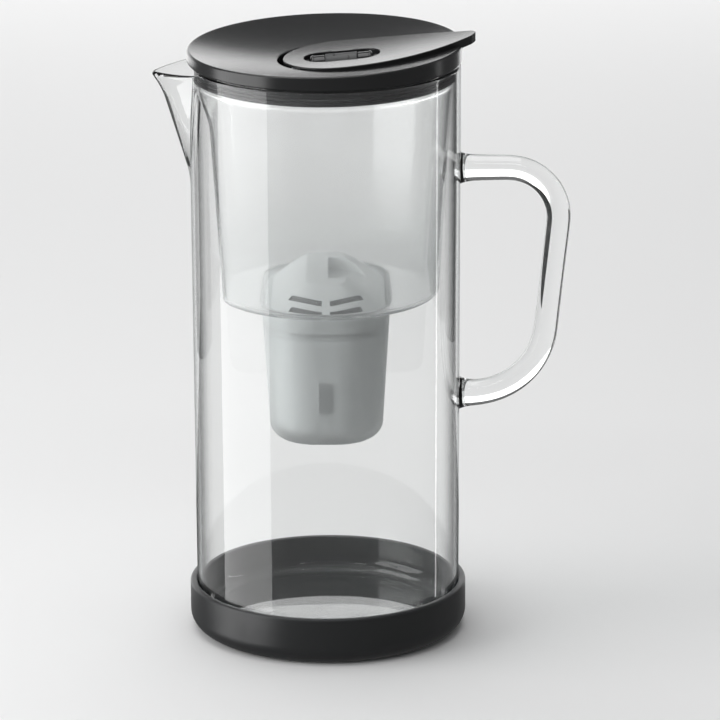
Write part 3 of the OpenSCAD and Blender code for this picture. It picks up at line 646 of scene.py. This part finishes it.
white, nodes, links, shader = moulded(
    "cartridge_white", (0.80, 0.805, 0.805), 0.38, 0.5, 1500, 0.00003)
paint(white, "cartridge_cup")

cap_foot, cap_z, dome_h, dome_in = 163.85, 167.8, 12.0, 17
rings = [ring(tub_radius(z, d), z, tub_angles) for d, z in (
    (28, cap_foot), (16, cap_foot), (3.0, cap_foot), (2.4, 163.9), (2.3, 164.2), (2.25, 167.0),
    (2.45, 167.5), (2.9, 167.75), (3.4, cap_z), (4.1, 167.82))]
# The dome draws in while it rises, and is a little steeper at its foot.
for share in np.concatenate([[0.004], np.linspace(0.03, 0.97, 15), [0.99]]):
    rings.append(ring(tub_radius(cap_z, 4.3 + dome_in * share),
                      cap_z + dome_h * (1 - (1 - share) ** 1.25), tub_angles))
rings += [ring(tub_radius(cap_z, d), cap_z + dome_h, tub_angles) for d in (21.9, 24, 27, 28.5)]
cap = skin("cartridge_cap", rings)
cap.data.materials.append(white)
# Painted shade: the slots' cut walls and floors take this near-black material, so that the slots
# read dark as their shade makes them.
shade, nodes, links, shader = moulded("slot_shade", (0.035, 0.036, 0.037), 0.5, 0.6, 1500, 0.00003)


def bar(name, centre, bow_r, start, stop, low, high, wide):
    """A curved bar with upright sides, for cutting a slot: it follows a circle between two angles
    in degrees."""
    a = np.radians(np.linspace(start, stop, 13))
    small, large = bow_r - wide / 2, bow_r + wide / 2
    sides = []
    for r, z in ((small, low), (large, low), (large, high), (small, high)):
        sides.append(np.stack(
            [centre[0] + r * np.cos(a), centre[1] + r * np.sin(a), z + 0 * a], -1))
    return skin(name, np.stack(sides, 1))


slot_in, slot_out, slot_floor, slot_w, clear_z = 1.9, 16.8, 164.3, 2.4, 190
bow_y = 17.07
for end in (-1, 1):
    for bow_r in (27.0, 22.0):
        for side in (-1, 1):
            first, last = (90 * end + side * math.degrees(math.asin(x / bow_r))
                           for x in (slot_in, slot_out))
            slot = bar("slot", (0, end * bow_y), bow_r, first, last, slot_floor, clear_z, slot_w)
            slot.data.materials.append(shade)
            carved(cap, slot, "DIFFERENCE")
grip_x, grip_r, grip_floor = 1, 19, 173.8
half_moon = arc((grip_x, 0), grip_r, -90, 90, 49)
grip = skin("grip", [np.column_stack([half_moon, np.full(49, z)]) for z in (grip_floor, clear_z)])
grip.data.materials.append(white)
carved(cap, grip, "DIFFERENCE")
cap.data.set_sharp_from_angle(angle=math.radians(38))
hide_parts("cartridge_cap")
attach(cap, "cartridge")


# A narrow window sits low in the cup's front end: a white frame with a fine
# grey mesh in it, both clipped to the sloping wall.
window_z = 127
window_y = -(tub_y - (holder_top_z - window_z) * draw_in - 3.8)


def pane(name, half_x, half_z, corner, levels):
    """A rounded rectangle in front of the cup's end wall: each level is an inset and a distance in
    front of it."""
    a = np.linspace(0, 2 * math.pi, 96, endpoint=False)
    rows = []
    for inset, front in levels:
        r = reach(half_x - inset, half_z - inset, max(corner - inset, 0.2), a)
        z = window_z + r * np.sin(a)
        rows.append(np.stack([r * np.cos(a), window_y - front - (z - window_z) * draw_in, z], -1))
    return skin(name, rows)


frame_piece = pane("window_frame", 3.9, 8.6, 1.2, [
    (2.5, -0.3), (0, -0.3), (0, 0.25), (0.15, 0.4), (0.45, 0.4), (0.6, 0.25), (0.6, 0.02),
    (2.5, 0.02)])
frame_piece.data.set_sharp_from_angle(angle=math.radians(50))
frame_piece.data.materials.append(white)
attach(frame_piece, "cartridge")
mesh_dark, nodes, links, shader = moulded(
    "window_mesh", (0.34, 0.345, 0.35), 0.4, 0.5, 4000, 0.0001, 0.8)
window_mesh = pane("window_mesh", 3.3, 8.0, 0.8, [
    (2.5, -0.2), (0, -0.2), (0.02, 0.06), (2.5, 0.06)])
window_mesh.data.materials.append(mesh_dark)
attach(window_mesh, "cartridge")
screen, nodes, links, shader = moulded(
    "cartridge_screen", (0.62, 0.63, 0.63), 0.5, 0.6, 4000, 0.0001, 0.8)
paint(screen, "cartridge_screens")
media, nodes, links, shader = moulded(
    "filter_granules", (0.05, 0.05, 0.05), 0.5, 0.9, 900, 0.0006, 1.0)
paint(media, "filter_media")


# The lid is moulded from satin black plastic. Its top is one shallow hollow
# that leans towards the spout, with a recess in it that the flap lies in.
lid_r, edge_z, dish_r = 65.7, 289.7, 270.0
plug_r, plug_z = collar_in - 0.4, 274.05
cut_low, cut_high = 270.0, 312.0
lean = math.asin(6.2 / dish_r)
dish_up = math.sqrt(dish_r ** 2 - lid_r ** 2)
lid_angles = np.linspace(0, 2 * math.pi, 360, endpoint=False)


def leaned(r, h):
    """A ring of radius r, h above the plane of the lid's edge, which leans towards the spout."""
    x, y = r * np.cos(lid_angles), r * np.sin(lid_angles)
    return np.stack([x * math.cos(lean) - h * math.sin(lean), y,
                     edge_z + x * math.sin(lean) + h * math.cos(lean)], -1)


def dish_height(x, y):
    """Height of the lid's hollow: the lower side of a sphere whose centre leans with the edge's
    plane."""
    return (edge_z + dish_up * math.cos(lean)
            - np.sqrt(dish_r ** 2 - (x + dish_up * math.sin(lean)) ** 2 - y ** 2))


round_edge = 1.1
bank = 90 + math.degrees(math.asin(lid_r / dish_r))
inner_edge = lid_r - round_edge + round_edge * math.cos(math.radians(bank))
edge_mid = (dish_up - math.sqrt(dish_r ** 2 - inner_edge ** 2)
            - round_edge * math.sin(math.radians(bank)))
rings = [ring(r, z, lid_angles) for r, z in (
    (1.5, plug_z), (40, plug_z), (57.2, plug_z), (57.8, 274.15), (plug_r - 0.05, 274.6),
    (plug_r, 275.2), (plug_r, 281.9), (58.5, 282.35), (59.2, 282.42), (65.1, 282.42),
    (65.5, 282.52), (lid_r, 282.9), (lid_r, 283.2))]
rings += [leaned(r, h) for r, h in arc((lid_r - round_edge, edge_mid), round_edge, 0, bank, 8)]
rings += [leaned(r, dish_up - math.sqrt(dish_r ** 2 - r ** 2))
          for r in np.concatenate([[inner_edge - 0.12], np.linspace(inner_edge - 0.8, 1.2, 72)])]
lid = skin("lid_cover", rings)

# The flap's outline and its hollow top are set here, because the lid's recess
# follows them.
leaf_x, leaf_r, tab_x, tab_r = 7.3, 27.2, 64.0, 7.8
side_r = ((tab_x - leaf_x) ** 2 + leaf_r ** 2 - tab_r ** 2) / (2 * (leaf_r - tab_r))
side_turn = math.asin((tab_x - leaf_x) / (side_r - tab_r))
flap_dish_r, flap_t = 350.0, 4.2
flap_lean, flap_rise, flap_gap = math.atan(0.063), 0.8, 0.5


def flap_height(x, y, below=0.0):
    """Height of the flap's hollow top, or of a surface at a depth below it: the lower side of a
    sphere."""
    middle_x = -flap_dish_r * math.sin(flap_lean)
    middle_z = seat_z + flap_rise + flap_dish_r * math.cos(flap_lean)
    return middle_z - np.sqrt((flap_dish_r + below) ** 2 - (x - middle_x) ** 2 - y ** 2)


def leaf(grow, heel=0.0):
    """The flap's outline seen from above, as x and half-width from the round end to the tab's tip:
    three arcs that run into one another, grown outwards by grow. The round end is moved back by
    heel."""
    t = np.linspace(0, math.pi / 2, 48)
    side = np.linspace(0, side_turn, 62)[1:]
    tip = np.linspace(math.pi / 2 - side_turn, 0, 24)[1:]
    x = np.concatenate([
        leaf_x - heel - (leaf_r + grow) * np.cos(t), leaf_x + (side_r + grow) * np.sin(side),
        tab_x + (tab_r + grow) * np.cos(tip)])
    half = np.concatenate([
        (leaf_r + grow) * np.sin(t), (side_r + grow) * np.cos(side) - side_r + leaf_r,
        (tab_r + grow) * np.sin(tip)])
    return x, half


def plate(name, levels, low, high, across=26):
    """A closed body over outlines that are mirrored in the XZ plane, from the lowest to the
    highest. Each level is x, half-width and height, of which the height is a function of x and y.
    The lowest and highest outlines are closed by grids between their two sides, on the surfaces low
    and high."""
    count = len(levels[0][0])
    loops = []
    for x, half, height in levels:
        x, y = np.concatenate([x, x[-2:0:-1]]), np.concatenate([-half, half[-2:0:-1]])
        loops.append(np.stack([x, y, height(x, y) + 0 * x], -1))
    points, around = [np.concatenate(loops)], 2 * count - 2
    k = np.arange(around)
    base = np.arange(len(levels) - 1)[:, None] * around
    quads = [np.stack([base + k, base + (k + 1) % around, base + around + (k + 1) % around,
                       base + around + k], -1).reshape(-1, 4)]
    triangles = []
    for x, half, first, surface, flip in (
            (*levels[0][:2], 0, low, True),
            (*levels[-1][:2], (len(levels) - 1) * around, high, False)):
        share = np.linspace(-1, 1, across + 1)[1:-1]
        gx, gy = np.repeat(x[1:-1, None], across - 1, 1), half[1:-1, None] * share
        grid = np.zeros((count, across + 1), int)
        grid[:, 0] = first + np.arange(count)
        grid[1:-1, -1] = first + around - np.arange(1, count - 1)
        grid[0], grid[-1] = first, first + count - 1
        grid[1:-1, 1:-1] = sum(len(p) for p in points) + np.arange(gx.size).reshape(gx.shape)
        points.append(np.stack([gx, gy, surface(gx, gy) + 0 * gx], -1).reshape(-1, 3))
        q = np.stack([grid[1:-2, :-1], grid[2:-1, :-1], grid[2:-1, 1:], grid[1:-2, 1:]], -1)
        q = q.reshape(-1, 4)
        a = np.stack([grid[0, :-1], grid[1, :-1], grid[1, 1:]], -1)
        b = np.stack([grid[-2, :-1], grid[-1, :-1], grid[-2, 1:]], -1)
        t = np.concatenate([a, b])
        quads.append(q[:, ::-1] if flip else q)
        triangles.append(t[:, ::-1] if flip else t)
    return built(name, np.concatenate(points) * MM, np.concatenate(quads),
                 np.concatenate(triangles))


def level_at(z):
    """A level surface for a cutter's end."""
    return lambda x, y: z + 0 * x


def lipped(outline, surface, floor, lip):
    """The levels of a cutter: upright walls over the outline, from the floor up to a surface, where
    they turn outwards in a quarter circle of radius lip, which leaves a rounded edge there."""
    levels = [(*outline(0), floor)]
    for a in np.radians([0, 25, 50, 72]):
        levels.append((*outline(lip * (1 - math.cos(a))),
                       lambda x, y, a=a: surface(x, y) - lip + lip * math.sin(a)))
    levels.append((*outline(lip * 2.5), lambda x, y: surface(x, y) + 0.42 * lip))
    levels.append((*outline(lip * 2.5), level_at(cut_high)))
    return levels


def crisp(piece):
    """Sharp edges stay sharp, and the large faces keep their own shading beside a rounded edge."""
    piece.data.polygons.foreach_set("use_smooth", np.ones(len(piece.data.polygons), bool))
    piece.data.set_sharp_from_angle(angle=math.radians(36))
    weigh = piece.modifiers.new("large_faces_first", "WEIGHTED_NORMAL")
    weigh.keep_sharp = True


pin_x = leaf_x - leaf_r + 5.0
shaft_x, shaft_z, heel_gap = pin_x + 2.6, 271.0, 2.2


def recess_floor(x, y):
    """The land under the flap, and the open shaft that the flap's heel swings down in."""
    return np.where(x < shaft_x, shaft_z, flap_height(x, y, flap_t + 0.3))


def recess(grow):
    """The recess's outline, with two columns close together at the edge of the heel's shaft."""
    x, half = leaf(flap_gap + grow, heel_gap)
    step = np.array([shaft_x - 0.02, shaft_x + 0.02])
    at = np.searchsorted(x, step)
    return np.insert(x, at, step), np.insert(half, at, np.interp(step, x, half))


cutter = plate("recess", lipped(recess, dish_height, recess_floor, 0.45), recess_floor,
               level_at(cut_high), 6)
carved(lid, cutter, "DIFFERENCE")
# The fill opening follows the flap 4 mm inside its outline, and ends at the plug's wall.
open_r = 53.96
x, half = leaf(-4.0)
keep = x < 53.4
x, half = np.append(x[keep], 53.9), np.append(half[keep], 0)
half = np.minimum(half, np.sqrt(np.maximum(open_r ** 2 - x ** 2, 0)))
low, high = level_at(cut_low), level_at(300.0)
carved(lid, plate("fill_opening", [(x, half, low), (x, half, high)], low, high, 4), "DIFFERENCE")
crisp(lid)
black, nodes, links, shader = moulded(
    "lid_black", (0.018, 0.0185, 0.019), 0.21, 0.25, 3500, 0.00002)
lid.data.materials.clear()
lid.data.materials.append(black)
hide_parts("lid_cover")
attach(lid, "lid")
paint(black, "lid_liner")


# The flap is a hollowed leaf of the same plastic. It turns on a steel pin in
# its round end, and its tab reaches past the lid's edge for a thumb.
def flap_level(grow, below):
    """One outline of the flap: grown by grow, at a depth below its top."""
    return (*leaf(grow), lambda x, y: flap_height(x, y, below))


levels = [flap_level(-0.9, flap_t)]
levels += [flap_level(-0.6 + x, flap_t - 0.6 - z) for x, z in arc((0, 0), 0.6, -90, 0, 5)]
levels += [flap_level(-0.5 + x, 0.5 - z) for x, z in arc((0, 0), 0.5, 0, 90, 5)]
levels += [flap_level(-0.62, 0), flap_level(-1.1, 0)]
flap = plate("flap_cover", levels, lambda x, y: flap_height(x, y, flap_t), flap_height)

roller_x, roller_z, tilt = 8.2, 280.113, math.asin(0.0863039)
pocket_l, pocket_w = 36.4, 19.6


def pocket(grow):
    """The pocket's outline: a strip with round ends, along the flap."""
    r, straight = pocket_w / 2 + grow, (pocket_l - pocket_w) / 2
    t = np.linspace(0, math.pi / 2, 26)
    x = np.concatenate([-straight - r * np.cos(t), straight + r * np.sin(t)])
    return roller_x + x, np.concatenate([r * np.sin(t), r * np.cos(t)])


cutter = plate("pocket", lipped(pocket, flap_height, level_at(cut_low), 0.35),
               level_at(cut_low), level_at(cut_high), 4)
carved(flap, cutter, "DIFFERENCE")
crisp(flap)
flap.data.materials.clear()
flap.data.materials.append(black)
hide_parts("flap_cover")
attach(flap, "flap")
paint(black, "flap_liner")
steel, nodes, links, shader = moulded("pin_steel", (0.55, 0.56, 0.57), 0.2, 0.35, 600, 0.00001)
shader.inputs["Metallic"].default_value = 1.0
paint(steel, "flap_pin", "reminder_axle")


# The reminder lies in the flap's pocket: a matt roller with the months of the
# year on it, between two shiny sleeves and two flanges, on an axle in a tray.
def along_axle(x, around, up):
    """Points in the roller's own frame, x along the axle, placed in the flap."""
    c, s = math.cos(tilt), math.sin(tilt)
    return np.stack([roller_x + x * c - up * s, around + 0 * x, roller_z + x * s + up * c], -1)


def turned(name, profile, steps=96):
    """A solid turned about the axle: each point of the profile, x and radius, makes a ring."""
    a = np.linspace(0, 2 * math.pi, steps, endpoint=False)
    return skin(name, [along_axle(x + 0 * a, r * np.cos(a), r * np.sin(a)) for x, r in profile])


def values(items, name, per=1):
    """One property of all points, corners or faces of a mesh as an array."""
    array = np.zeros(len(items) * per, np.float32 if per > 1 else np.int32)
    items.foreach_get(name, array)
    return array.reshape(-1, per) if per > 1 else array


def joined(name, pieces):
    """One piece made of several closed bodies."""
    points, loops, starts, first, corner = [], [], [], 0, 0
    for piece in pieces:
        mesh = piece.data
        points.append(values(mesh.vertices, "co", 3))
        loops.append(values(mesh.loops, "vertex_index") + first)
        starts.append(values(mesh.polygons, "loop_start") + corner)
        first += len(mesh.vertices)
        corner += len(mesh.loops)
        bpy.data.objects.remove(piece)
    whole = meshed(name, np.concatenate(points), np.concatenate(loops), np.concatenate(starts))
    whole.data.set_sharp_from_angle(angle=math.radians(40))
    return whole


def finished(piece, material, node, body):
    """Material, node, slot and body of a finished piece."""
    piece.data.materials.clear()
    piece.data.materials.append(material)
    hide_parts(node)
    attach(piece, body)


def strip(grow, height):
    """The pocket's outline as a ring of points, at a height that is a function of x and y."""
    x, half = pocket(grow)
    x, y = np.concatenate([x, x[-2:0:-1]]), np.concatenate([-half, half[-2:0:-1]])
    return np.stack([x, y, height(x, y) + 0 * x], -1)


def tray_floor(up):
    """The tray's floor, parallel to the axle, or a surface above it."""
    return lambda x, y: roller_z + (x - roller_x) * math.tan(tilt) - 6.0 + up


def under_flap(x, y):
    """The tray's top edge, just below the flap's underside."""
    return flap_height(x, y, flap_t + 0.05)


tub = skin("tray_tub", [
    strip(-9.0, tray_floor(-1.4)), strip(-1, tray_floor(-1.4)), strip(0.9, tray_floor(-1.2)),
    strip(1.4, tray_floor(-0.6)), strip(1.4, under_flap), strip(0.05, under_flap),
    strip(0.05, tray_floor(1.6)), strip(-0.4, tray_floor(0.5)), strip(-1.5, tray_floor(0)),
    strip(-9.0, tray_floor(0))])


def post(end):
    """A post that carries the axle at one end: an arch shape, carried along the axle for its
    thickness."""
    a = np.radians(np.linspace(0, 180, 25))
    around = np.concatenate([[2.9], 2.6 * np.cos(a), [-2.9]])
    up = np.concatenate([[-6.2], 0.4 + 2.6 * np.sin(a), [-6.2]])
    inset = np.array([0.35, 0.0, 0.0, 0.35])
    x = end * np.array([15.25, 15.5, 16.9, 17.3])
    return skin("tray_post", [along_axle(px + 0 * up, around * (1 - d / 3), up - d)
                              for px, d in zip(x, inset)])


tray = joined("reminder_tray", [tub, post(-1), post(1)])
dark, nodes, links, shader = moulded(
    "reminder_black", (0.018, 0.018, 0.019), 0.08, 0.11, 3500, 0.000004)
finished(tray, dark, "reminder_tray", "flap")

barrel_r, bore_r = 5.2, 1.3
half_barrel = [
    (6.6, 5.06), (6.85, 5.08), (6.9, barrel_r), (7.2, barrel_r), (7.45, 5.12), (7.6, 4.9),
    (7.65, 4.5), (7.65, bore_r)]
barrel = turned("roller_barrel", [(-x, r) for x, r in half_barrel[::-1]] + half_barrel, 120)
# The months are numbers set in two rows, flat first and then wrapped round the barrel.
marks = []
months, print_r, row_x = 12, 5.1, 3.4
for month in range(months):
    figure = bpy.data.curves.new("month", "FONT")
    figure.body = str(month + 1)
    figure.size = 2.9
    figure.align_x, figure.align_y = "CENTER", "CENTER"
    figure.extrude = 0.09
    figure.resolution_u = 3
    drawn = bpy.data.objects.new("month", figure)
    bpy.context.scene.collection.objects.link(drawn)
    bpy.context.view_layer.update()
    depsgraph = bpy.context.evaluated_depsgraph_get()
    flat = bpy.data.meshes.new_from_object(drawn.evaluated_get(depsgraph))
    co = values(flat.vertices, "co", 3).astype(float)
    turn = math.radians(90 + (0.5 - month) * 360 / months) + co[:, 1] / barrel_r
    up = print_r + co[:, 2]
    shift = -row_x if month % 2 else row_x
    wrapped = along_axle(co[:, 0] + shift, up * -np.cos(turn), up * np.sin(turn)) * MM
    flat.vertices.foreach_set("co", wrapped.ravel())
    bpy.data.objects.remove(drawn)
    mark = bpy.data.objects.new("mark", flat)
    bpy.context.scene.collection.objects.link(mark)
    marks.append(mark)
numbers = joined("reminder_numbers", marks)
matt, nodes, links, shader = moulded(
    "roller_grey", (0.060, 0.061, 0.062), 0.42, 0.55, 2500, 0.00005)
finished(barrel, matt, "reminder_roller", "reminder")
barrel.data.set_sharp_from_angle(angle=math.radians(50))
print_black, nodes, links, shader = moulded(
    "number_black", (0.008, 0.008, 0.008), 0.4, 0.5, 2500, 0.00001)
numbers.data.materials.append(print_black)
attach(numbers, "reminder")

sleeves = joined("reminder_sleeves", [turned("sleeve", [
    (e * 7.85, bore_r), (e * 7.85, 4.4), (e * 7.95, 4.62), (e * 8.2, 4.7), (e * 12.8, 4.7),
    (e * 13.05, 4.62), (e * 13.15, 4.4), (e * 13.15, bore_r)]) for e in (-1, 1)])
finished(sleeves, dark, "reminder_sleeves", "reminder")
ends = joined("reminder_ends", [turned("end", [
    (e * 13.16, bore_r), (e * 13.16, 4.8), (e * 13.3, 5.0), (e * 13.7, 5.0), (e * 14.1, 4.9),
    (e * 14.6, 4.5), (e * 14.95, 3.9), (e * 14.95, bore_r)]) for e in (-1, 1)])
finished(ends, dark, "reminder_ends", "reminder")
